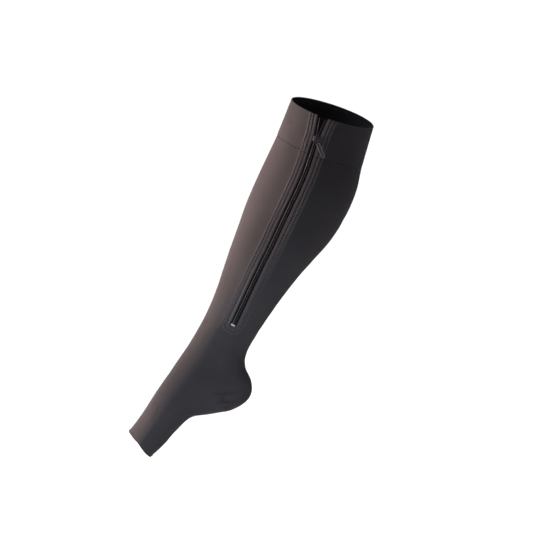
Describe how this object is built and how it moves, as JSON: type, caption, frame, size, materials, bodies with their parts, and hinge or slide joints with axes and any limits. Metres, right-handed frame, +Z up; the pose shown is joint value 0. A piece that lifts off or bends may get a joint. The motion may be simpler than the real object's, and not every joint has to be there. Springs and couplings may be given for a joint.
{
  "type": "compression stocking",
  "caption": "Knee-length open-toe compression stocking with a zip up the inner side of the leg, worn shape.",
  "frame": {"origin": "centre of the top rim, where the leg goes in", "axes": "+Z up towards the knee, -X towards the toes, -Y out of the inner side of the leg, where the zip is"},
  "size_m": [0.3126, 0.1129, 0.4623],
  "materials": {
    "knit": "fine dense knit, charcoal, with a warm sheen",
    "band": "doubled fine knit, charcoal",
    "tape": "woven tape, black",
    "coil": "nylon coil, black, half gloss",
    "slider": "black enamel on cast metal, half gloss",
    "stop": "pressed sheet, satin"
  },
  "bodies": {
    "stocking": {"leg": "knit", "foot": "knit", "top_band": "band", "zip_tape_front": "tape", "zip_tape_back": "tape", "zip_coil_front": "coil", "zip_coil_back": "coil", "zip_guard": "tape", "zip_slider": "slider", "zip_stop": "stop"},
    "ring": {"pull_ring": "slider"},
    "tab": {"pull_tab": "slider"}
  },
  "joints": [
    {"name": "ring_swivel", "type": "hinge", "parent": "stocking", "child": "ring", "pos_m": [-0.02197, -0.05352, -0.02508], "axis": [-0.2116, -0.9719, 0.1029], "range_deg": [-87, 3]},
    {"name": "tab_flip", "type": "hinge", "parent": "ring", "child": "tab", "pos_m": [-0.01989, -0.05451, -0.03019], "axis": [-0.9046, 0.1549, -0.397], "range_deg": [0, 120]}
  ]
}
